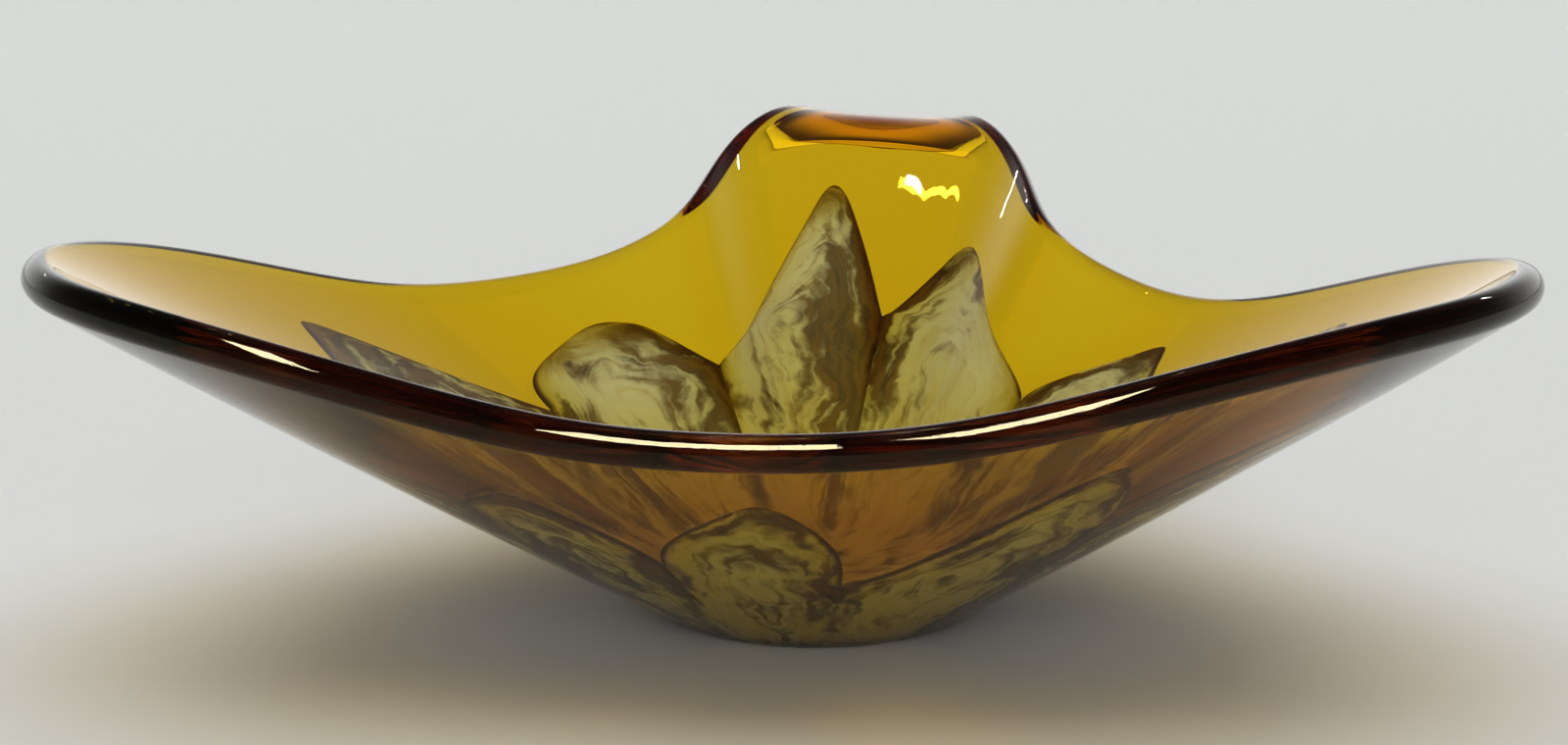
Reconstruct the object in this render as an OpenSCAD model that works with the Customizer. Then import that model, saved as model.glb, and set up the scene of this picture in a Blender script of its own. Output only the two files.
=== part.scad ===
// Free-form studio glass bowl with three pulled lobes, in millimetres.
// A star of mottled cream glass, with eleven pulled petals edged in aubergine,
// is sealed between an amber lining and an amber casing with a ground foot.
// Z is up and the origin is the centre of the flat foot. Azimuths turn from +X
// towards +Y: the back lobe points along +Y and the low front edge along -Y.

/* [Lobes] */
// Direction of the tall back lobe, in degrees
back_azimuth = 86; // [82:1:90]
// Reach of the back lobe from the foot's centre
back_reach = 186; // [176:1:194]
// Height of the back lobe's lip
back_height = 102.5; // [95:0.5:108]
// How far the back lobe's lip rolls over outwards, in degrees
lip_roll = 88; // [0:1:95]
// How much longer the wall is where the lip rolls over
lip_extra = 24; // [10:1:26]
// Direction of the left lobe, in degrees
left_azimuth = 202; // [198:1:206]
// Reach of the left lobe
left_reach = 199; // [188:1:206]
// Height of the left lobe's lip
left_height = 101; // [94:0.5:108]
// Direction of the right lobe, in degrees
right_azimuth = 328; // [324:1:332]
// Reach of the right lobe
right_reach = 188; // [180:1:200]
// Height of the right lobe's lip
right_height = 102.5; // [94:0.5:108]

/* [Valleys] */
// Reach of the low edge between the left and right lobes
front_reach = 129; // [122:1:136]
// Height of that front edge
front_height = 73.5; // [68:0.5:80]
// Reach of the low edge between the right and back lobes
right_valley_reach = 113; // [108:1:120]
// Height of that right edge
right_valley_height = 65; // [60:0.5:72]
// Reach of the low edge between the back and left lobes
left_valley_reach = 122; // [116:1:130]
// Height of that left edge
left_valley_height = 66; // [60:0.5:72]

/* [Glass] */
// Thickness of the wall, and of its rounded rim
wall = 9.5; // [8:0.5:12]
// Thickness of the floor at its centre
floor_thickness = 13; // [12:0.5:18]
// Radius of the ground and polished foot
foot_radius = 38; // [34:1:42]
// Radius that the inside turns with, from the floor to the wall
floor_turn = 10; // [6:1:14]

/* [Star] */
// Greatest thickness of the star's heart
heart_thickness = 7; // [4:0.5:7]
// Greatest thickness of a petal
petal_thickness = 7; // [3:0.5:7]
// How wide the petals' blunt tips are, as a share of their own widths
tip_width = 1; // [0.8:0.05:1.2]
// How far a petal's tip is rounded off, as a share of the wall's length
tip_rounding = 0.05; // [0.03:0.01:0.08]

/* [Hidden] */
// Each petal: azimuth of its tip, reach of its tip, azimuth and reach of the
// notch before it, how full its side before the tip and its side after it are
// (under 1 hollow, over 1 bulging), and half the width of its tip in degrees.
// A reach runs from 0 at the foot to 1 at the rim. The petals go round from the
// tall one at the back.
PETALS = [
    [88, 0.81, 80, 0.51, 0.9, 0.34, 2],
    [126, 0.825, 109, 0.56, 1, 2.8, 7],
    [174, 0.81, 148, 0.55, 1, 1, 2],
    [203, 0.78, 186, 0.5, 1.4, 1.3, 2.5],
    [231, 0.67, 217, 0.46, 1.5, 1.5, 3],
    [263, 0.8, 243, 0.42, 1.6, 2.2, 3.5],
    [303, 0.74, 275, 0.36, 0.6, 1.2, 2.5],
    [327, 0.78, 314, 0.42, 1.4, 1.4, 2.5],
    [355, 0.84, 342, 0.5, 1.2, 1.3, 2],
    [385, 0.85, 370, 0.52, 0.8, 1.5, 2],
    [428, 0.765, 404, 0.56, 1.6, 0.72, 3.2],
];

// The wall's rise is a little steeper at the rim than at the foot.
WALL_BEND = 1.044;
// How far the floor's inside lies in from the foot's edge, as a share of the wall's lean.
FOOT_LEAN = 0.6;
// Radius within which the floor's inside is level.
FLOOR_LEVEL = 12;

// Azimuths of the valleys between the lobes, and how far each one's say spreads.
RIGHT_VALLEY = 30;
LEFT_VALLEY = 150;
FRONT_VALLEY = 270;
VALLEY_SPREAD = 120;

// Half-width of each lobe before and after its tip, in degrees, where it has lost half its reach.
BACK_HALVES = [19.5, 14.6];
LEFT_HALVES = [28.4, 24.4];
RIGHT_HALVES = [27.4, 30.2];
// How square the lobes are: 2 is a soft bell, 3 has a flat end and steep sides.
BACK_SQUARE = 3.2;
SIDE_SQUARE = 2.1;
// The same for the rim's height, and how much wider than the reach its bell is.
BACK_RISE_SQUARE = 2.1;
SIDE_RISE_SQUARE = 2.5;
BACK_RISE_WIDE = 1.32;
SIDE_RISE_WIDE = 1.1;
// Degrees over which one half-width gives way to the other.
HALVES_BLEND = 4;

// The rolled lip: its azimuth, the half-width over which its roll halves, in degrees,
// and where on the wall it starts.
LIP_AZIMUTH = 84;
LIP_HALF_WIDTH = 7.5;
LIP_START = 0.92;

// The wall's grid: lines that run up the wall, and rows that run round it.
PETAL_LINES = [-1, -0.78, -0.4, 0, 0.4, 0.78, 1];
PETAL_CELLS = len(PETAL_LINES) - 1;
GAP_LINES = 2;
// How far a petal's outermost lines stay from the next petal's at the rim, in lines.
RIM_INSET = 1.5;
LINES_EACH = len(PETAL_LINES) + GAP_LINES;
LINES = LINES_EACH * len(PETALS);
FOOT_ROWS = 3;
NOTCH_ROW = FOOT_ROWS + 4;
TIP_ROW = NOTCH_ROW + 5;
RIM_ROW = TIP_ROW + 6;
HEART_ROW = FOOT_ROWS + 1;
RIM_STEPS = 3;
SAME = 0.000001;

function mix(a, b, t) = a + (b - a) * t;
function clamp(x) = max(0, min(1, x));
function ease(x) = clamp(x) * clamp(x) * (3 - 2 * clamp(x));
// An angle turned into -180 to 180
function turned(a) = a - 360 * round(a / 360);
function petal(k) = PETALS[k % len(PETALS)];
// Azimuth and reach of the notch before a petal; the last petal ends at the first notch, a turn on.
function notch_azimuth(k) = petal(k)[2] + (k >= len(PETALS) ? 360 : 0);
function notch_reach(k) = petal(k)[3];
function tip_azimuth(k) = petal(k)[0] + (k >= len(PETALS) ? 360 : 0);

// How much a valley of the rim counts at an azimuth: all of it at its own, and nothing a third of a turn away
function nearness(az, valley_azimuth) = ease(1 - abs(turned(az - valley_azimuth)) / VALLEY_SPREAD);
// The rim: the value between the valleys, and what each lobe adds to it
function valley(az, right, left, front) =
    right * nearness(az, RIGHT_VALLEY)
    + left * nearness(az, LEFT_VALLEY)
    + front * nearness(az, FRONT_VALLEY);
function bell(off, halves, square, wide) =
    let (half = mix(halves[0], halves[1], 1 / (1 + exp(-off / HALVES_BLEND))) * wide)
    pow(2, -pow(abs(off) / half, square));
function rim_reach(az) =
    let (
        low = valley(az, right_valley_reach, left_valley_reach, front_reach),
        back = bell(turned(az - back_azimuth), BACK_HALVES, BACK_SQUARE, 1),
        left = bell(turned(az - left_azimuth), LEFT_HALVES, SIDE_SQUARE, 1),
        right = bell(turned(az - right_azimuth), RIGHT_HALVES, SIDE_SQUARE, 1)
    )
    low + (back_reach - low) * back + (left_reach - low) * left + (right_reach - low) * right;
function rim_height(az) =
    let (
        low = valley(az, right_valley_height, left_valley_height, front_height),
        back = bell(turned(az - back_azimuth), BACK_HALVES, BACK_RISE_SQUARE, BACK_RISE_WIDE),
        left = bell(turned(az - left_azimuth), LEFT_HALVES, SIDE_RISE_SQUARE, SIDE_RISE_WIDE),
        right = bell(turned(az - right_azimuth), RIGHT_HALVES, SIDE_RISE_SQUARE, SIDE_RISE_WIDE)
    )
    low + (back_height - low) * back + (left_height - low) * left + (right_height - low) * right;

// How far a line at this height has turned up from the floor: 0 far below it, and its own height far above
function turn_up(height) =
    let (over = height - floor_thickness)
    (over + norm([over, floor_turn])) / 2;
// Sine of half an angle in degrees over half the angle in radians: the chord of an arc over its length
function chord(angle) = angle == 0 ? 1 : sin(angle / 2) / (angle * PI / 360);
// The wall's section where its top rolls over along an arc, by the lip's share of the full roll. The middle
// of the wall leaves its straight line by the arc's chord, and its two faces turn with it.
function roll_over(outer, inner, depth, along, run, lean, lip) =
    let (
        past = clamp((along - LIP_START) / (1 - LIP_START)),
        roll = lip_roll * lip * past,
        straight = past * (1 - LIP_START) * run,
        rolled = (straight + lip_extra * lip * past * past) * chord(roll),
        shift = rolled * [cos(lean - roll / 2), sin(lean - roll / 2)] - straight * [cos(lean), sin(lean)],
        half = (inner - outer) * (depth - 0.5)
    )
    (outer + inner) / 2 + shift
        + [half[0] * cos(roll) + half[1] * sin(roll), half[1] * cos(roll) - half[0] * sin(roll)];
// A point of the wall's upright section at an azimuth, as [radius, height].
// rise is 0 to 1 across the foot and 1 to 2 from the foot's edge to the rim.
// depth is 0 on the outside face and 1 on the inside face.
function section(az, rise, depth) =
    let (
        reach = rim_reach(az),
        height = rim_height(az),
        lean = atan2(height, reach - foot_radius),
        side = wall * sin(lean),
        up = wall * cos(lean),
        across = clamp(rise),
        along = clamp(rise - 1),
        outer_run = reach + side / 2 - foot_radius,
        outer_rise = height - up / 2,
        outer_r = foot_radius * across + outer_run * along,
        outer_z = outer_rise * pow(along, WALL_BEND),
        floor_r = foot_radius - side * FOOT_LEAN,
        inner_end = reach - side / 2,
        inner_r = floor_r * across + (inner_end - floor_r) * along,
        inner_top = height + up / 2,
        slope = outer_rise / outer_run,
        centre = turn_up(inner_top - inner_end * slope),
        climb = (turn_up(inner_top - (inner_end - inner_r) * slope) - centre) / (turn_up(inner_top) - centre),
        levelled = 1 - exp(-pow(inner_r / FLOOR_LEVEL, 2)),
        inner_z = floor_thickness + (inner_top - floor_thickness) * climb * levelled,
        lip = pow(2, -pow(turned(az - LIP_AZIMUTH) / LIP_HALF_WIDTH, 2)),
        run = norm([outer_run, outer_rise])
    )
    roll_over([outer_r, outer_z], [inner_r, inner_z], depth, along, run, lean, lip);
function in_space(az, rz) = [rz[0] * cos(az), rz[0] * sin(az), rz[1]];

// Where petal k's line at share u of its half-width crosses a row, as [azimuth, rise]
function petal_place(k, u, row) =
    let (
        p = petal(k),
        start = notch_azimuth(k),
        end = notch_azimuth(k + 1),
        across = (u + 1) / 2,
        notch = mix(notch_reach(k), notch_reach(k + 1), across),
        tip = p[1] - tip_rounding * u * u,
        up = (row - NOTCH_ROW) / (TIP_ROW - NOTCH_ROW),
        past = (row - TIP_ROW) / (RIM_ROW - TIP_ROW),
        tip_half = p[6] * tip_width,
        near_side = mix(start, tip_azimuth(k) - tip_half, pow(clamp(up), p[4])),
        far_side = mix(end, tip_azimuth(k) + tip_half, pow(clamp(up), p[5])),
        inset = RIM_INSET / LINES_EACH,
        even = mix(start, end, mix(inset, 1 - inset, across))
    )
    row <= NOTCH_ROW
        ? [mix(start, end, across), 1 + notch * (row - FOOT_ROWS) / (NOTCH_ROW - FOOT_ROWS)]
        : row <= TIP_ROW
            ? [mix(near_side, far_side, across), 1 + mix(notch, tip, up)]
            : [mix(tip_azimuth(k) + u * tip_half, even, ease(past)), 1 + mix(tip, 1, past)];
// A grid line that lies between two petals shares out the space between their sides.
function place(line, row) =
    let (k = floor(line / LINES_EACH), own = line % LINES_EACH, gap = own - PETAL_CELLS)
    gap <= 0
        ? petal_place(k, PETAL_LINES[own], row)
        : mix(petal_place(k, 1, row), petal_place(k + 1, -1, row), gap / (GAP_LINES + 1));
function grid_place(line, row) =
    row < FOOT_ROWS
        ? [place(line % LINES, FOOT_ROWS)[0], row / FOOT_ROWS]
        : place(line % LINES, row);

// Half the star's thickness: full in the heart, rounded across a petal, and
// nothing along a petal's free sides, at its tip and in the gaps.
function half_star(line, row) =
    let (
        own = line % LINES_EACH,
        u = own <= PETAL_CELLS ? PETAL_LINES[own] : 1,
        away = clamp((row - HEART_ROW) / (NOTCH_ROW - HEART_ROW)),
        up = clamp((row - NOTCH_ROW) / (TIP_ROW - NOTCH_ROW)),
        side = 1 - away * away,
        crown = mix(sqrt(1 - u * u), 1, side)
    )
    row >= TIP_ROW || (row >= NOTCH_ROW && abs(u) == 1)
        ? 0
        : mix(heart_thickness, petal_thickness, away) / 2 * crown * sqrt(1 - up * up);

// A point of the surface between lining and casing, moved by side times half the
// star's thickness: side is -1 on the star's outer face and 1 on its inner face.
function seam_point(line, row, side) =
    let (
        at = grid_place(line, row),
        outer = section(at[0], at[1], 0),
        inner = section(at[0], at[1], 1),
        share = half_star(line, row) / norm(inner - outer)
    )
    in_space(at[0], mix(outer, inner, 0.5 + side * share));
function face_point(line, row, depth) =
    let (at = grid_place(line, row))
    in_space(at[0], section(at[0], at[1], depth));
// A point on the rounded rim; angle is 0 at the outside face, 90 at the crest and 180 inside.
function rim_point(line, angle) =
    let (
        az = grid_place(line, RIM_ROW)[0],
        outer = section(az, 2, 0),
        inner = section(az, 2, 1),
        half = (inner - outer) / 2,
        ahead = [half[1], -half[0]]
    )
    in_space(az, (outer + inner) / 2 - half * cos(angle) + ahead * sin(angle));

// Grids of points, row after row
OUTER_FACE = [for (row = [0:RIM_ROW], line = [0:LINES - 1]) face_point(line, row, 0)];
INNER_FACE = [for (row = [0:RIM_ROW], line = [0:LINES - 1]) face_point(line, row, 1)];
STAR_OUTSIDE = [for (row = [0:RIM_ROW], line = [0:LINES - 1]) seam_point(line, row, -1)];
STAR_INSIDE = [for (row = [0:RIM_ROW], line = [0:LINES - 1]) seam_point(line, row, 1)];
function rim_row(angle) = [for (line = [0:LINES - 1]) rim_point(line, angle)];
CREST = rim_row(90);
function rim_arc(first) = [
    for (step = [1:RIM_STEPS - 1])
        each rim_row(first == 0 ? 90 * step / RIM_STEPS : 180 - 90 * step / RIM_STEPS)
];

// The two triangles of a four-sided cell of the grid, going clockwise as seen from inside
// the bowl and leaving out any that has no area. On the far half of a petal the cell is cut the other way.
function same(a, b) = norm(a - b) < SAME;
function has_area(points, f) =
    !(same(points[f[0]], points[f[1]]) || same(points[f[1]], points[f[2]]) || same(points[f[2]], points[f[0]]));
function patch(points, a, b, c, d, cut_ac) = [
    for (f = cut_ac ? [[a, b, c], [a, c, d]] : [[a, b, d], [b, c, d]])
        if (has_area(points, f))
            f
];
function grid_index(line, row) = row * LINES + line % LINES;
function cut_ac(line) = line % LINES_EACH >= PETAL_CELLS / 2 && line % LINES_EACH < PETAL_CELLS;
function cell(points, line, row) = patch(
    points,
    grid_index(line, row),
    grid_index(line + 1, row),
    grid_index(line + 1, row + 1),
    grid_index(line, row + 1),
    cut_ac(line)
);
function turned_over(faces) = [for (f = faces) [f[2], f[1], f[0]]];
function shifted(faces, by) = [for (f = faces) f + [by, by, by]];
function sheet(points) = [
    for (row = [0:len(points) / LINES - 2], line = [0:LINES - 1])
        each cell(points, line, row)
];

// A layer of glass between a lower and an upper sheet, which meet along the rim's crest
module layer(lower, upper) {
    polyhedron(
        points = concat(lower, upper),
        faces = concat(turned_over(sheet(lower)), shifted(sheet(upper), len(lower)))
    );
}

// The wall that closes a piece of the star along one side of a cell
function side_wall(points, upper, e, g) = patch(points, e, g, g + upper, e + upper, true);
// A piece of the star: the cells of the grid that in_piece(line, row) picks, from the star's
// outer face to its inner face, with a wall wherever the next cell isn't in the piece.
module star_piece(lines, rows, in_piece) {
    points = concat(STAR_OUTSIDE, STAR_INSIDE);
    upper = len(STAR_OUTSIDE);
    faces = [
        for (line = lines, row = rows)
            if (in_piece(line, row))
                let (
                    a = grid_index(line, row),
                    b = grid_index(line + 1, row),
                    c = grid_index(line + 1, row + 1),
                    d = grid_index(line, row + 1)
                )
                each concat(
                    turned_over(cell(points, line, row)),
                    shifted(cell(points, line, row), upper),
                    in_piece(line, row - 1) ? [] : side_wall(points, upper, a, b),
                    in_piece(line + 1, row) ? [] : side_wall(points, upper, b, c),
                    in_piece(line, row + 1) ? [] : side_wall(points, upper, c, d),
                    in_piece(line - 1, row) ? [] : side_wall(points, upper, d, a)
                )
    ];
    polyhedron(points = points, faces = faces);
}

// Amber casing: the bowl's outside, its ground foot and the outer half of the rim
module outer_casing() {
    color([0.72, 0.5, 0.08, 0.55])
        layer(concat(OUTER_FACE, rim_arc(0), CREST), concat(STAR_OUTSIDE, CREST));
}

// Amber lining: the bowl's inside and the inner half of the rim
module inner_lining() {
    color([0.86, 0.68, 0.1, 0.55])
        layer(concat(STAR_INSIDE, CREST), concat(INNER_FACE, rim_arc(180), CREST));
}

// The star's heart, a flat cake of mottled glass over the foot
module star_heart() {
    color([0.78, 0.72, 0.5])
        star_piece(
            [0:LINES - 1],
            [0:HEART_ROW - 1],
            function(line, row) row >= 0 && row < HEART_ROW
        );
}

// One petal of mottled cream glass, out to its dark edge
module star_petal(k) {
    first = k * LINES_EACH;
    color([0.8, 0.74, 0.52])
        star_piece(
            [first:first + PETAL_CELLS - 1],
            [HEART_ROW:TIP_ROW - 2],
            function(line, row)
                row >= HEART_ROW && row < TIP_ROW - 1
                && line >= first + (row < NOTCH_ROW ? 0 : 1)
                && line < first + PETAL_CELLS - (row < NOTCH_ROW ? 0 : 1)
        );
}

// The aubergine edge that runs up one side of a petal, round its tip and down the other side
module star_petal_edge(k) {
    first = k * LINES_EACH;
    last = first + PETAL_CELLS - 1;
    color([0.3, 0.18, 0.1])
        star_piece(
            [first:last],
            [NOTCH_ROW:TIP_ROW - 1],
            function(line, row)
                line >= first && line <= last && row >= NOTCH_ROW && row < TIP_ROW
                && (row == TIP_ROW - 1 || line == first || line == last)
        );
}

outer_casing();
inner_lining();
star_heart();
for (k = [0:len(PETALS) - 1]) {
    star_petal(k);
    star_petal_edge(k);
}
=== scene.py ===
"""Looks of a free-form studio glass bowl with three pulled lobes: amber glass cased
over a star of mottled cream glass with eleven petals outlined in aubergine."""
import math

import bmesh
import bpy
import numpy as np
from mathutils import Matrix, Vector


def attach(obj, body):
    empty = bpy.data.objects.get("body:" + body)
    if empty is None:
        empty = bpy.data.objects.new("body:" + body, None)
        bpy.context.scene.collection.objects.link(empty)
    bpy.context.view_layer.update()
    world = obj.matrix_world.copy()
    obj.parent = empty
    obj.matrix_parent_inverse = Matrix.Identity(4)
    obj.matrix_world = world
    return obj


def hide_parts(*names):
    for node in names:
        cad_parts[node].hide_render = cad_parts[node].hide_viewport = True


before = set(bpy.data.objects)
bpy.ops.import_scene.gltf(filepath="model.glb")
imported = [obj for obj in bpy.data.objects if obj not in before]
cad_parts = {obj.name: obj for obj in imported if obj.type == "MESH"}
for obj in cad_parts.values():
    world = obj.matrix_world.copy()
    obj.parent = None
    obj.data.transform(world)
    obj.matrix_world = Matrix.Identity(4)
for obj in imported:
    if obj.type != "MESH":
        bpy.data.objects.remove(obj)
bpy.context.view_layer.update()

# ---------------------------------------------------------------- Amber glass
# The body is one block of clear amber glass: a gather blown, opened and pulled into
# three lobes while hot, then fire-polished at the rim and ground flat under the foot.
# Casing and lining are fused, so one closed surface stands for both.

# In millimetres: thickness of wall and floor, the foot's radius, and how widely the
# inside turns from floor to wall.
WALL, FLOOR_THICKNESS, FOOT_RADIUS, FLOOR_TURN = 9.5, 13.0, 38.0, 10.0
# The outside's slight bend, how far the wall's lean sets the inside in over the foot's
# edge, and the radius of the level middle of the floor in millimetres.
WALL_BEND, FOOT_LEAN, FLOOR_LEVEL = 1.044, 0.6, 12.0
# Each lobe: azimuth, reach, height, half-widths before and after its tip, how square its
# reach and its height are, and how much wider than the reach its height spreads.
LOBES = [
    (86, 186, 102.5, 19.5, 14.6, 3.2, 2.1, 1.32),
    (202, 199, 101, 28.4, 24.4, 2.1, 2.5, 1.1),
    (328, 188, 102.5, 27.4, 30.2, 2.1, 2.5, 1.1),
]
# Each valley between the lobes: azimuth, reach and height.
VALLEYS = [(30, 113, 65), (150, 122, 66), (270, 129, 73.5)]
# In degrees: how far a valley's share reaches, and how softly a lobe's two half-widths
# change over at its tip.
VALLEY_SPREAD, LOBE_CHANGE = 120, 4
# The back lobe's lip rolls over outwards: the roll's azimuth and half-width in degrees,
# where up the wall it starts, how much longer the wall is there in millimetres, and how
# far it turns in radians.
LIP_AZIMUTH, LIP_HALF_WIDTH, LIP_START, LIP_EXTRA, LIP_ROLL = 84, 7.5, 0.92, 24, math.radians(88)
# The mesh: lines round the bowl, rows over the foot, floor, wall, top of the wall and
# half-round rim, and where the closer rows at the top of the wall start.
RIM_LINES, FOOT_ROWS, FLOOR_ROWS, WALL_ROWS, TOP_ROWS, CAP_ROWS = 432, (0, 0.5, 0.97), 15, 56, 25, 18
TOP_START = 1.9
# Points closer than this many metres are one, and edges bent more than this stay crisp.
SAME_POINT, CRISP_EDGE = 2e-6, math.radians(50)


def mix(a, b, t):
    return a + (b - a) * t


def ease(x):
    x = np.clip(x, 0, 1)
    return x * x * (3 - 2 * x)


def turned(angle):
    """An angle in degrees brought into -180 to 180."""
    return angle - 360 * np.round(angle / 360)


def rim_line(az):
    """Reach and height of the rim's middle at an azimuth. Each starts from the valleys, blended by an
    eased share of their distance in azimuth, and each lobe lifts it towards its own value by a bell,
    2 ** -(x ** square)."""
    reach = sum(v[1] * ease(1 - abs(turned(az - v[0])) / VALLEY_SPREAD) for v in VALLEYS)
    height = sum(v[2] * ease(1 - abs(turned(az - v[0])) / VALLEY_SPREAD) for v in VALLEYS)
    low_reach, low_height = reach.copy(), height.copy()
    for middle, far, high, before, after, square, rise_square, wide in LOBES:
        off = turned(az - middle)
        half = mix(before, after, 1 / (1 + np.exp(-off / LOBE_CHANGE)))
        reach = reach + (far - low_reach) * 2 ** -(abs(off) / half) ** square
        height = height + (high - low_height) * 2 ** -(abs(off) / (half * wide)) ** rise_square
    return reach, height


def turn_up(height):
    """How far a straight line at this height has turned up from the level floor, by a smooth maximum."""
    over = height - FLOOR_THICKNESS
    return (over + np.hypot(over, FLOOR_TURN)) / 2


def wall_section(az, rise, depth):
    """Radius and height of a point in the bowl's upright section at an azimuth. Rise is 0 to 1 across the
    foot and 1 to 2 up the wall; depth is 0 on the outside face and 1 inside. The outside is a straight
    lean with a slight bend, and the inside is a line parallel to it that turns smoothly into the level
    floor. At the back lobe the end of the wall then bends over along an arc: the chord of a circle gives
    how far the wall's middle gets, and the line across the wall turns by the whole angle."""
    reach, height = rim_line(az)
    lean = np.arctan2(height, reach - FOOT_RADIUS)
    side, up = WALL * np.sin(lean), WALL * np.cos(lean)
    across, along = np.clip(rise, 0, 1), np.clip(rise - 1, 0, 1)
    run, climb_out = reach + side / 2 - FOOT_RADIUS, height - up / 2
    outer_r, outer_z = FOOT_RADIUS * across + run * along, climb_out * along**WALL_BEND
    floor_r = FOOT_RADIUS - side * FOOT_LEAN
    end, top = reach - side / 2, height + up / 2
    inner_r = floor_r * across + (end - floor_r) * along
    slope = climb_out / run
    centre = turn_up(top - end * slope)
    climb = (turn_up(top - (end - inner_r) * slope) - centre) / (turn_up(top) - centre)
    level = 1 - np.exp(-((inner_r / FLOOR_LEVEL) ** 2))
    inner_z = FLOOR_THICKNESS + (top - FLOOR_THICKNESS) * climb * level
    lip = 2 ** -((turned(az - LIP_AZIMUTH) / LIP_HALF_WIDTH) ** 2)
    past = np.clip((along - LIP_START) / (1 - LIP_START), 0, 1)
    roll = LIP_ROLL * lip * past
    straight = past * (1 - LIP_START) * np.hypot(run, climb_out)
    rolled = (straight + LIP_EXTRA * lip * past**2) * np.sinc(roll / 2 / np.pi)
    middle_r = (outer_r + inner_r) / 2 + rolled * np.cos(lean - roll / 2) - straight * np.cos(lean)
    middle_z = (outer_z + inner_z) / 2 + rolled * np.sin(lean - roll / 2) - straight * np.sin(lean)
    across_r, across_z = (inner_r - outer_r) * (depth - 0.5), (inner_z - outer_z) * (depth - 0.5)
    return (
        middle_r + across_r * np.cos(roll) + across_z * np.sin(roll),
        middle_z + across_z * np.cos(roll) - across_r * np.sin(roll),
    )


def in_space(az, radius, height):
    """Points in metres from azimuths in degrees and radii and heights in millimetres."""
    turn = np.radians(az)
    return np.stack([radius * np.cos(turn), radius * np.sin(turn), height + 0 * radius], -1) / 1000


def grid_faces(rows, lines, closed):
    """Four-sided faces of a grid of points kept row after row. A closed grid joins its last line to its
    first."""
    steps = lines if closed else lines - 1
    row, line = np.meshgrid(np.arange(rows - 1), np.arange(steps), indexing="ij")
    low, high, after = row * lines, (row + 1) * lines, (line + 1) % lines
    return np.stack([low + line, low + after, high + after, high + line], -1).reshape(-1, 4)


def glass_piece(name, points, faces, finish, stands_for, flow=None):
    """A closed piece from points and four-sided faces. Doubled points are merged, which closes poles and
    thin edges, its faces are turned outwards, and sharply bent edges stay crisp under the smooth shading.
    Flow is what the piece's pattern follows, a value in three parts for each point."""
    mesh = bpy.data.meshes.new(name)
    mesh.from_pydata(points.reshape(-1, 3), [], faces.tolist())
    if flow is not None:
        mesh.attributes.new("flow", "FLOAT_VECTOR", "POINT").data.foreach_set("vector", flow.ravel())
    piece = bpy.data.objects.new(name, mesh)
    bpy.context.scene.collection.objects.link(piece)
    shaped = bmesh.new()
    shaped.from_mesh(mesh)
    bmesh.ops.remove_doubles(shaped, verts=shaped.verts, dist=SAME_POINT)
    bmesh.ops.recalc_face_normals(shaped, faces=shaped.faces)
    shaped.to_mesh(mesh)
    shaped.free()
    mesh.shade_smooth()
    mesh.set_sharp_from_angle(angle=CRISP_EDGE)
    mesh.materials.append(finish)
    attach(piece, "root")
    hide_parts(*stands_for)


class Value:
    """A shader socket for Python expressions: each operator adds its Math node."""

    def __init__(self, finish, socket):
        self.finish, self.socket = finish, socket

    def maths(self, operation, *terms):
        return self.finish.node("ShaderNodeMath", {"operation": operation}, dict(enumerate(terms)))

    def __add__(self, other):
        return self.maths("ADD", self, other)

    __radd__ = __add__

    def __mul__(self, other):
        return self.maths("MULTIPLY", self, other)

    __rmul__ = __mul__

    def __sub__(self, other):
        return self.maths("SUBTRACT", self, other)

    def __rsub__(self, other):
        return self.maths("SUBTRACT", other, self)

    def between(self, low, high):
        """0 below low and 1 above high, with a smooth step between them."""
        sockets = {"Value": self, "From Min": low, "From Max": high}
        return self.finish.node("ShaderNodeMapRange", {"interpolation_type": "SMOOTHSTEP"}, sockets)


class Finish:
    """A material, or the world, that is being put together from nodes."""

    def __init__(self, owner):
        owner.use_nodes = True
        self.owner, self.tree = owner, owner.node_tree
        self.tree.nodes.clear()

    def node(self, kind, settings, sockets, out=0):
        """Adds a node, makes its settings, then gives its sockets their values or links, and returns one
        output."""
        made = self.tree.nodes.new(kind)
        for key, value in settings.items():
            setattr(made, key, value)
        for key, value in sockets.items():
            if isinstance(value, Value):
                self.tree.links.new(value.socket, made.inputs[key])
            else:
                made.inputs[key].default_value = value
        return None if out is None else Value(self, made.outputs[out])

    def blend(self, share, first, second):
        """A colour between two colours."""
        return self.node("ShaderNodeMix", {"data_type": "RGBA"}, {0: share, 6: first, 7: second}, 2)


# The lines are spread evenly along the rim, which is measured in fine steps first.
rim_turn = np.linspace(0, 360, 7201)
rim_middle = in_space(rim_turn, *rim_line(rim_turn))
rim_run = np.concatenate([[0], np.cumsum(np.linalg.norm(np.diff(rim_middle, axis=0), axis=1))])
amber_az = np.interp(np.arange(RIM_LINES) / RIM_LINES * rim_run[-1], rim_run, rim_turn)[None, :]

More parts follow.
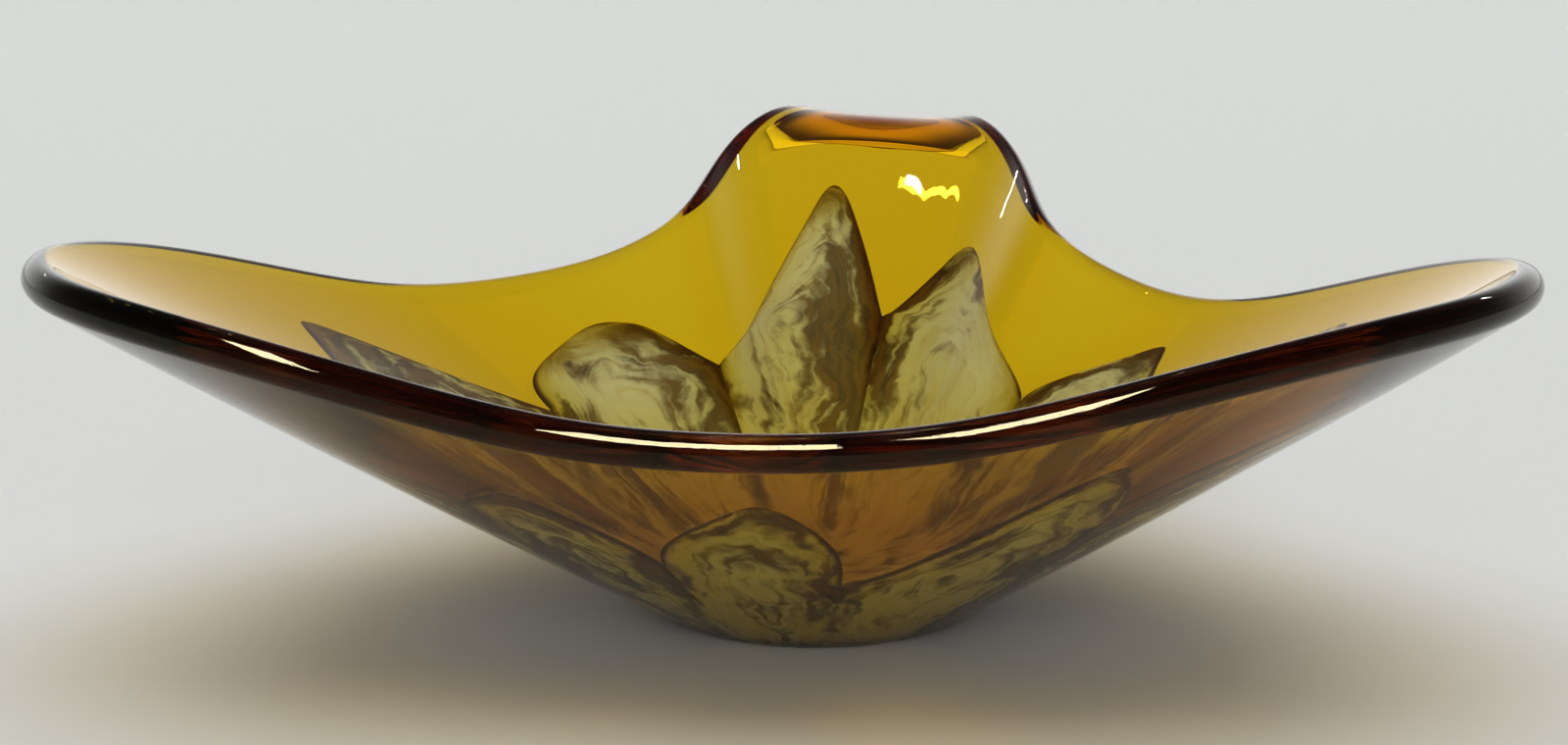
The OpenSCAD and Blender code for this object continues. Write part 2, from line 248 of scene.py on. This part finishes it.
# The surface runs up the outside, over the half-round rim and down the inside.
foot_rows = np.array(FOOT_ROWS)[:, None]
floor_rows = np.linspace(0, 1, FLOOR_ROWS)[:-1, None]
wall_rows = np.concatenate(
    [np.linspace(1, TOP_START, WALL_ROWS)[:-1], np.linspace(TOP_START, 2, TOP_ROWS)]
)[:, None]
outer_r, outer_z = wall_section(amber_az, np.concatenate([foot_rows, wall_rows]), 0)
inner_r, inner_z = wall_section(amber_az, np.concatenate([floor_rows, wall_rows])[::-1], 1)
cap = np.radians(np.linspace(0, 180, CAP_ROWS)[1:-1, None])
half_r, half_z = (inner_r[0] - outer_r[-1]) / 2, (inner_z[0] - outer_z[-1]) / 2
cap_r = (inner_r[0] + outer_r[-1]) / 2 - half_r * np.cos(cap) + half_z * np.sin(cap)
cap_z = (inner_z[0] + outer_z[-1]) / 2 - half_z * np.cos(cap) - half_r * np.sin(cap)
amber_points = in_space(
    amber_az, np.concatenate([outer_r, cap_r, inner_r]), np.concatenate([outer_z, cap_z, inner_z])
)

amber = Finish(bpy.data.materials.new("amber_glass"))
amber_place = amber.node("ShaderNodeTexCoord", {}, {}, "Object")
amber_ripple = amber.node(
    "ShaderNodeTexNoise", {}, {"Vector": amber_place, "Scale": 26.0, "Detail": 1.0, "Roughness": 0.4}
)
amber_bump = amber.node(
    "ShaderNodeBump", {}, {"Strength": 0.07, "Distance": 0.0006, "Height": amber_ripple}
)
amber_body = amber.node(
    "ShaderNodeBsdfPrincipled",
    {},
    {
        "Base Color": (1, 1, 1, 1),
        "Roughness": 0.01,
        "IOR": 1.5,
        "Transmission Weight": 1.0,
        "Specular Tint": (0.46, 0.42, 0.26, 1),
        "Normal": amber_bump,
    },
)
amber_tint = amber.node(
    "ShaderNodeVolumeAbsorption", {}, {"Color": (0.942, 0.855, 0.0, 1), "Density": 460.0}
)
amber.node("ShaderNodeOutputMaterial", {}, {"Surface": amber_body, "Volume": amber_tint}, None)
glass_piece(
    "amber_glass_body", amber_points, grid_faces(len(amber_points), RIM_LINES, True), amber.owner,
    ["outer_casing", "inner_lining"],
)

# ----------------------------------------------------------------- Star heart
# The star is an inner gather of opaque cream glass rolled in brown chips, sealed in by
# the amber. The heart is its middle: a flat cake over the foot, where the petals meet.
# It lies halfway through the glass and follows the floor and the root of the wall.
HEART_HALF, HEART_LINES, HEART_ROWS = 3.5, 330, 26
# How far up towards the notches the heart goes, on a scale where they are at 1.
HEART_END = 0.25
# What the pattern follows in the middle of the heart: see petal_flow.
HEART_FLOW = (2.0, 0.02, 0.0)
# Each petal: azimuth and reach of its tip, azimuth and reach of the notch before it, how
# full its two sides are, half its tip's width in degrees, how brown it is, how much
# browner towards its later side, and how olive its tip is. The notches also shape the
# heart's border.
PETALS = [
    (88, 0.81, 80, 0.51, 0.9, 0.34, 2, 0.02, -0.30, 0.8),
    (126, 0.825, 109, 0.56, 1.0, 2.8, 7, 0.01, -0.18, 0.95),
    (174, 0.81, 148, 0.55, 1, 1, 2, 0.10, 0.0, 0.6),
    (203, 0.78, 186, 0.5, 1.4, 1.3, 2.5, 0.10, 0.0, 0.6),
    (231, 0.67, 217, 0.46, 1.5, 1.5, 3, 0.12, 0.0, 0.7),
    (263, 0.8, 243, 0.42, 1.6, 2.2, 3.5, 0.00, 0.10, 0.6),
    (303, 0.74, 275, 0.36, 0.6, 1.2, 2.5, 0.02, 0.0, 0.5),
    (327, 0.78, 314, 0.42, 1.4, 1.4, 2.5, 0.08, 0.0, 0.8),
    (355, 0.84, 342, 0.5, 1.2, 1.3, 2, 0.14, 0.0, 0.5),
    (385, 0.85, 370, 0.52, 0.8, 1.5, 2, 0.04, 0.06, 0.3),
    (428, 0.765, 404, 0.56, 1.6, 0.72, 3.2, -0.08, 0.16, 0.4),
]
# How much lower a tip is at its sides than in its middle.
TIP_ROUNDING = 0.05
# Extra brown at the notches and at the tip. The first fades over this share of the
# petal's half-width, and over this much climb from this one.
NOTCH_BROWN, TIP_BROWN = 0.22, 0.10
NOTCH_WIDTH, NOTCH_SPREAD, NOTCH_CLIMB = 0.35, 0.4, 0.85
# Near the heart the pattern lets go of the outline: this many millimetres are added to
# the inset there, and fade out over this much climb from this one.
LOOSE_INSET, LOOSE_SPREAD, LOOSE_CLIMB = 4, 0.3, 0.8


def star_point(az, rise, shift):
    """A point shifted by this many millimetres from the middle of the wall towards its inside."""
    outer_r, outer_z = wall_section(az, rise, 0)
    inner_r, inner_z = wall_section(az, rise, 1)
    share = 0.5 + shift / np.hypot(inner_r - outer_r, inner_z - outer_z)
    return in_space(az, mix(outer_r, inner_r, share), mix(outer_z, inner_z, share))


def petal_side(k):
    """Azimuths, then reaches, of the notches before and after petal k."""
    after = PETALS[(k + 1) % len(PETALS)]
    return PETALS[k][2], after[2] + (360 if k + 1 == len(PETALS) else 0), PETALS[k][3], after[3]


def petal_place(k, u, climb):
    """Azimuth and rise of a point of petal k. U is -1 to 1 across it. Climb is 0 at the foot's edge, 1 at
    the notches and 2 at the tip: below the notches the petals share the round evenly, and above them the
    sides close in."""
    start, end, before, after = petal_side(k)
    tip_az, reach = PETALS[k][:2]
    full_before, full_after, tip_half = PETALS[k][4:7]
    across = (u + 1) / 2
    notch = mix(before, after, across)
    up = np.clip(climb - 1, 0, 1)
    near_side = mix(start, tip_az - tip_half, up**full_before)
    far_side = mix(end, tip_az + tip_half, up**full_after)
    closing = 1 + mix(notch, reach - TIP_ROUNDING * u * u, up)
    return mix(near_side, far_side, across), np.where(climb <= 1, 1 + notch * climb, closing)


def petal_flow(k, u, climb):
    """What a petal's pattern follows, at each point: how far in from its outline it is, in centimetres,
    by a rounded minimum of the distances to the side and to the tip, how brown it is, and how near the tip
    it is, from 0 to 1."""
    az, rise = petal_place(k, u, climb)
    edge_az, _ = petal_place(k, np.sign(u + 1e-9), climb)
    radius, height = wall_section(az, rise, 0.5)
    to_side = np.radians(abs(edge_az - az)) * radius + 1e-3
    tip_r, tip_z = wall_section(az, 0 * rise + 1 + PETALS[k][1], 0.5)
    to_tip = np.clip(np.hypot(tip_r - radius, tip_z - height) * np.sign(tip_r - radius), 1e-3, None)
    inset = (to_side**-2.0 + to_tip**-2.0) ** -0.5
    inset = inset + LOOSE_INSET * (1 - ease((climb - LOOSE_CLIMB) / LOOSE_SPREAD))
    brown, lean, olive = PETALS[k][7:]
    notch = np.exp(-((abs(u) - 1) / NOTCH_WIDTH) ** 2 - ((climb - NOTCH_CLIMB) / NOTCH_SPREAD) ** 2)
    up = np.clip(climb - 1, 0, 1)
    shade = brown + lean * u * np.clip(climb, 0, 1) + NOTCH_BROWN * notch + TIP_BROWN * up
    return np.stack([inset / 10, shade, up * olive], -1)


def mottled_finish(name, outline):
    """Cream glass with brown flames that follow the petal's outline, which is dark to this many
    centimetres in. The flames are stretched noise, fast across the inset and slow along the petal, bent by
    two softer noises. Near the heart they break up into blotches."""
    finish = Finish(bpy.data.materials.new(name))
    place = finish.node("ShaderNodeTexCoord", {}, {}, "Object")
    flow = finish.node("ShaderNodeAttribute", {"attribute_name": "flow"}, {}, "Vector")
    inset, shade, tip = (finish.node("ShaderNodeSeparateXYZ", {}, {0: flow}, part) for part in range(3))

    def noise(scale, detail, rough, distortion=0.0):
        """Noise that changes alike in every direction."""
        sockets = {"Scale": scale, "Detail": detail, "Roughness": rough, "Distortion": distortion}
        return finish.node("ShaderNodeTexNoise", {}, {"Vector": place, **sockets})

    def streaks(wave, scale, detail, rough, across):
        """Noise that also changes this often for each centimetre of the wave, so it streaks along it."""
        sockets = {"W": wave * (across / scale), "Scale": scale, "Detail": detail, "Roughness": rough}
        return finish.node("ShaderNodeTexNoise", {"noise_dimensions": "4D"}, {"Vector": place, **sockets})

    bend = noise(55.0, 2.0, 0.5)
    ruffle = noise(190.0, 3.0, 0.6, 0.6)
    wave = inset + 1.5 * (bend - 0.5) + 0.35 * (ruffle - 0.5)
    flames = streaks(wave, 30.0, 2.5, 0.5, 1.9)
    blotches = noise(75.0, 3.0, 0.55, 1.6)
    threads = streaks(wave, 60.0, 2.0, 0.5, 5.0)
    brown = (flames * 0.5 + threads * 0.28 + blotches * 0.22 + shade * 0.5).between(0.48, 0.61)
    cream = finish.blend(threads.between(0.4, 0.65), (0.95, 0.94, 0.86, 1), (0.85, 0.80, 0.62, 1))
    umber = finish.blend(threads.between(0.35, 0.65), (0.075, 0.034, 0.007, 1), (0.22, 0.115, 0.022, 1))
    olive = finish.blend(flames.between(0.42, 0.6), (0.44, 0.33, 0.035, 1), (0.13, 0.065, 0.01, 1))
    clear = (tip + (bend - 0.5) * 1.2 + (threads - 0.5) * 0.5).between(0.3, 0.95)
    colour = finish.blend(clear * 0.85, finish.blend(brown, cream, umber), olive)
    edge = 1 - (inset + 0.12 * (threads - 0.5)).between(0.03, outline)
    colour = finish.blend(edge * 0.95, colour, (0.085, 0.042, 0.018, 1))
    bump = finish.node("ShaderNodeBump", {}, {"Strength": 0.2, "Distance": 0.0004, "Height": blotches})
    body = finish.node(
        "ShaderNodeBsdfPrincipled", {}, {"Base Color": colour, "Roughness": 0.4, "IOR": 1.5, "Normal": bump}
    )
    finish.node("ShaderNodeOutputMaterial", {}, {"Surface": body}, None)
    return finish.owner


def star_piece(name, az, rise, shifts, flow, closed, finish):
    """A closed piece of the star: its outer face, its inner face turned over, and a wall of faces round
    its border. A closed grid goes right round the bowl and has a wall at its last row only."""
    rows, lines = az.shape
    points = np.concatenate([star_point(az, rise, shift).reshape(-1, 3) for shift in shifts])
    low = grid_faces(rows, lines, closed)
    index = np.arange(rows * lines).reshape(rows, lines)
    if closed:
        border = np.append(index[-1], index[-1, 0])
    else:
        border = np.concatenate([index[0], index[1:, -1], index[-1, -2::-1], index[-2::-1, 0]])
    wall = np.stack([border[:-1], border[1:], border[1:] + rows * lines, border[:-1] + rows * lines], -1)
    faces = np.concatenate([low, low[:, ::-1] + rows * lines, wall])
    flows = np.concatenate([flow.reshape(-1, 3)] * 2)
    glass_piece(name + "_glass", points, faces, finish, [name], flows)


mottled = mottled_finish("mottled_glass", 0.22)

# Climb is -1 in the middle of the foot and 0 at its edge.
notch_az = np.array([p[2] for p in PETALS] + [PETALS[0][2] + 360], float)
notch_reach = np.array([p[3] for p in PETALS] + [PETALS[0][3]])
heart_az = np.linspace(0, 360, HEART_LINES + 1)[None, :-1] + PETALS[0][2]
heart_climb = np.linspace(-1, HEART_END, HEART_ROWS)[:, None] + 0 * heart_az
heart_az = heart_az + 0 * heart_climb
heart_out = heart_climb * np.interp(heart_az, notch_az, notch_reach)
heart_rise = 1 + np.where(heart_climb < 0, heart_climb, heart_out)
which = np.searchsorted(notch_az, heart_az, side="right") - 1
heart_flow = np.zeros(heart_az.shape + (3,))
for k in range(len(PETALS)):
    start, end, _, _ = petal_side(k)
    own = which == k
    u = np.clip(2 * (heart_az[own] - start) / (end - start) - 1, -1, 1)
    heart_flow[own] = petal_flow(k, u, np.clip(heart_climb[own], 0, None))
middle = ease(heart_climb + 1)[..., None]
heart_flow = heart_flow * middle + np.array(HEART_FLOW) * (1 - middle)
heart_shifts = [0 * heart_az - HEART_HALF, 0 * heart_az + HEART_HALF]
star_piece("star_heart", heart_az, heart_rise, heart_shifts, heart_flow, True, mottled)

# --------------------------------------------------------------------- Petals
# Eleven petals of the same mottled glass, cut and pulled out of the heart one by one.
# Each is rounded across, so the amber over it is thin in the middle and thicker at its
# sides, and its root is fused to the heart.
PETAL_ACROSS, PETAL_ALONG = 41, 57
# The greatest distance of the two faces from the middle of the wall, in millimetres, and
# how square each face is across.
PETAL_FACES = ((-1, 3.8, 2), (1, 4.4, 4))
# Climbs where the neck and the petal end. Up to the neck's end a petal fills its place,
# and above it only this share of the width: its dark edge takes the rest, and the tip.
NECK_END, PETAL_END, PETAL_SHARE = 1.0, 1.8, 0.78


def petal_shifts(u, climb):
    """How far a petal's two faces lie from the middle of the wall. Its root is as thick as the heart.
    Further out the outer face is half-round and the inner face is flatter, just under the bowl's inside,
    and both close at the tip."""
    away, up = np.clip((climb - HEART_END) / (1 - HEART_END), 0, 1), np.clip(climb - 1, 0, 1)
    return [
        side * mix(HEART_HALF, half, away) * mix(1, np.sqrt(np.clip(1 - abs(u) ** square, 0, 1)), away * away)
        * np.sqrt(np.clip(1 - up**square, 0, 1))
        for side, half, square in PETAL_FACES
    ]


# A doubled row at the neck makes the step in width.
climb = np.linspace(HEART_END, PETAL_END, PETAL_ALONG)
climb = np.sort(np.append(climb, [NECK_END, NECK_END + 1e-4]))[:, None]
u = np.linspace(-1, 1, PETAL_ACROSS)[None, :] * np.where(climb <= NECK_END, 1.0, PETAL_SHARE)
climb = climb + 0 * u
for k in range(len(PETALS)):
    az, rise = petal_place(k, u, climb)
    shifts, flow = petal_shifts(u, climb), petal_flow(k, u, climb)
    star_piece(f"petal_{k + 1}", az, rise, shifts, flow, False, mottled)

# ---------------------------------------------------------------- Petal edges
# Where a petal was cut and pulled, the brown chips melted into a dark aubergine line.
# It runs up one side of the petal, round its tip and down the other side, and is fused
# to the petal along the whole of its inner line.
EDGE_ACROSS, EDGE_ALONG = 7, 121
# The strip crosses the tip within the middle 1 / TIP_PARTS of its length.
TIP_PARTS = 3.2
aubergine = mottled_finish("aubergine_glass", 0.24)

# Its inner and outer lines go round the petal together: up, across the tip and down.
round_it = np.linspace(-1, 1, EDGE_ALONG)[None, :]
out = np.linspace(0, 1, EDGE_ACROSS)[:, None]
outer_u = np.clip(round_it * TIP_PARTS, -1, 1)
away = np.clip((1 - abs(round_it)) / (1 - 1 / TIP_PARTS), 0, 1)
u = mix(outer_u * PETAL_SHARE, outer_u, out)
climb = mix(mix(NECK_END, PETAL_END, away), mix(NECK_END, 2.0, away), out)
for k in range(len(PETALS)):
    az, rise = petal_place(k, u, climb + 1e-6)
    shifts, flow = petal_shifts(u, climb), petal_flow(k, u, climb)
    star_piece(f"petal_edge_{k + 1}", az, rise, shifts, flow, False, aubergine)

# --------------------------------------------------------- Floor and daylight
# A pale matt cloth that grows lighter away from the bowl, with a faint unevenness, and
# soft daylight that is brightest low down behind the bowl. Near the bowl the cloth's tone is
# partly painted light: lighter and cooler than the cloth itself, to offset the bowl's amber shadow.
FLOOR_HALF = 9
floor_corners = [
    (-FLOOR_HALF, -FLOOR_HALF, 0), (FLOOR_HALF, -FLOOR_HALF, 0),
    (FLOOR_HALF, FLOOR_HALF, 0), (-FLOOR_HALF, FLOOR_HALF, 0),
]
floor_mesh = bpy.data.meshes.new("pale_floor")
floor_mesh.from_pydata(floor_corners, [], [(0, 1, 2, 3)])
floor = bpy.data.objects.new("pale_floor", floor_mesh)
bpy.context.scene.collection.objects.link(floor)
cloth = Finish(bpy.data.materials.new("pale_cloth"))
cloth_place = cloth.node("ShaderNodeTexCoord", {}, {}, "Object")
cloth_far = cloth.node("ShaderNodeVectorMath", {"operation": "LENGTH"}, {0: cloth_place}, 1)
# The near tone is the cloth's colour plus painted light: lighter and cooler, offsetting the bowl's amber
# shadow.
cloth_tone_and_painted_light = cloth.blend(cloth_far.between(0.3, 1.6), (0.79, 0.795, 0.785, 1), (0.86, 0.88, 0.86, 1))
cloth_weave = cloth.node("ShaderNodeTexNoise", {}, {"Vector": cloth_place, "Scale": 9.0, "Detail": 2.0})
cloth_bump = cloth.node("ShaderNodeBump", {}, {"Strength": 0.06, "Distance": 0.01, "Height": cloth_weave})
cloth_body = cloth.node(
    "ShaderNodeBsdfPrincipled", {},
    {"Base Color": cloth_tone_and_painted_light, "Roughness": 0.9, "Specular IOR Level": 0.1, "Normal": cloth_bump},
)
cloth.node("ShaderNodeOutputMaterial", {}, {"Surface": cloth_body}, None)
floor_mesh.materials.append(cloth.owner)

sky = Finish(bpy.data.worlds.new("soft_daylight"))
bpy.context.scene.world = sky.owner
sky_place = sky.node("ShaderNodeTexCoord", {}, {}, "Generated")
sky_y, sky_z = (sky.node("ShaderNodeSeparateXYZ", {}, {0: sky_place}, part) for part in (1, 2))
sky_light = (sky_y.between(0.25, 1.0) * 1.05 + 0.10) * (1 - sky_z.between(0.1, 0.7)) + 0.08
sky_shade = sky.node("ShaderNodeBackground", {}, {"Color": (0.97, 0.985, 0.98, 1), "Strength": sky_light})
sky.node("ShaderNodeOutputWorld", {}, {"Surface": sky_shade}, None)

# ---------------------------------------------------------------------- Lamps
# Two large soft lamps, above and in front, light the bowl and don't show in reflections.
# Five bright strips do the opposite: they stand for a window and a bent tube, light
# nothing, and only show as small crisp highlights on the rim and in the back lobe.


def soft_lamp(name, place, aim, along, width, height, power, colour):
    """A rectangular light at a place, facing a point, with its long side along a direction."""
    light = bpy.data.lights.new(name, "AREA")
    light.shape, light.size, light.size_y = "RECTANGLE", width, height
    light.energy, light.color = power, colour
    holder = bpy.data.objects.new(name, light)
    bpy.context.scene.collection.objects.link(holder)
    back = (Vector(place) - Vector(aim)).normalized()
    side = (Vector(along) - back * back.dot(Vector(along))).normalized()
    turn = Matrix((side, back.cross(side), back)).transposed().to_4x4()
    holder.matrix_world = Matrix.Translation(place) @ turn
    holder.visible_glossy = False


soft_lamp("softbox", (0, 0.3, 4), (0, 0, 0), (1, 0, 0), 6, 6, 180, (0.99, 1, 0.99))
soft_lamp("front_fill", (0, -3.2, 1.5), (0, 0, 0.05), (1, 0, 0), 2.4, 1.6, 24, (0.99, 1, 0.99))

WHITE_GLOW, YELLOW_GLOW = (1, 0.98, 0.94, 1), (1, 0.88, 0.08, 1)
# The strips face this point, in the hollow of the back lobe.
STRIPS_FACE = np.array([0, 0.1, 0.08])


def bright_strip(name, line, width, strength, colour):
    """A glowing strip of this width along a line of points, which only shows in reflections."""
    middle = np.array(line)
    side = np.cross(np.gradient(middle, axis=0), middle - STRIPS_FACE)
    side = side / np.linalg.norm(side, axis=1, keepdims=True) * width / 2
    mesh = bpy.data.meshes.new(name)
    faces = grid_faces(2, len(middle), False).tolist()
    mesh.from_pydata(np.concatenate([middle - side, middle + side]), [], faces)
    strip = bpy.data.objects.new(name, mesh)
    bpy.context.scene.collection.objects.link(strip)
    glow = Finish(bpy.data.materials.new(name))
    glow_light = glow.node("ShaderNodeEmission", {}, {"Color": colour, "Strength": strength})
    glow.node("ShaderNodeOutputMaterial", {}, {"Surface": glow_light}, None)
    glow.owner.cycles.emission_sampling = "NONE"
    mesh.materials.append(glow.owner)
    strip.visible_diffuse = strip.visible_transmission = strip.visible_shadow = False


bright_strip("window", [(-0.79, -1.47, 1.87), (-0.41, -1.47, 1.87)], 1.1, 55, WHITE_GLOW)
bent_tube = [
    (-0.17, 0.76, 2.45), (-0.24, 0.783, 2.45), (-0.32, 0.81, 2.45), (-0.5, 0.89, 2.45),
    (-0.67, 1.0, 2.45), (-0.89, 1.16, 2.45), (-1.24, 1.49, 2.45),
]
bright_strip("bent_tube", bent_tube, 0.009, 45, YELLOW_GLOW)
bright_strip("tube_middle", [(-0.42, 0.85, 2.43), (-0.22, 0.775, 2.43)], 0.009, 80, WHITE_GLOW)
bright_strip("left_glint", [(1.28, 1.58, 1.6), (1.48, 1.58, 1.6)], 0.05, 60, WHITE_GLOW)
bright_strip("right_glint", [(-1.25, 2.09, 1.01), (-1.11, 2.09, 1.01)], 0.012, 60, WHITE_GLOW)

# --------------------------------------------------------------------- Camera
# It stands in front of the bowl and a little above it, and looks slightly down, so that
# the near rim crosses the lower half of the far wall. Nothing is out of focus.
camera = bpy.data.objects.new("camera", bpy.data.cameras.new("camera"))
bpy.context.scene.collection.objects.link(camera)
camera.data.lens, camera.data.sensor_width = 85.8, 36
camera.data.clip_start, camera.data.clip_end = 0.05, 60
camera.location = (0, -0.950, 0.2797)
camera.rotation_euler = (math.radians(90 - 12.83), 0, math.radians(0.499))
bpy.context.scene.camera = camera
bpy.context.scene.view_settings.view_transform = "Standard"
# Light bounces many times between the glass's faces before it gets out.
bpy.context.scene.cycles.glossy_bounces = 12
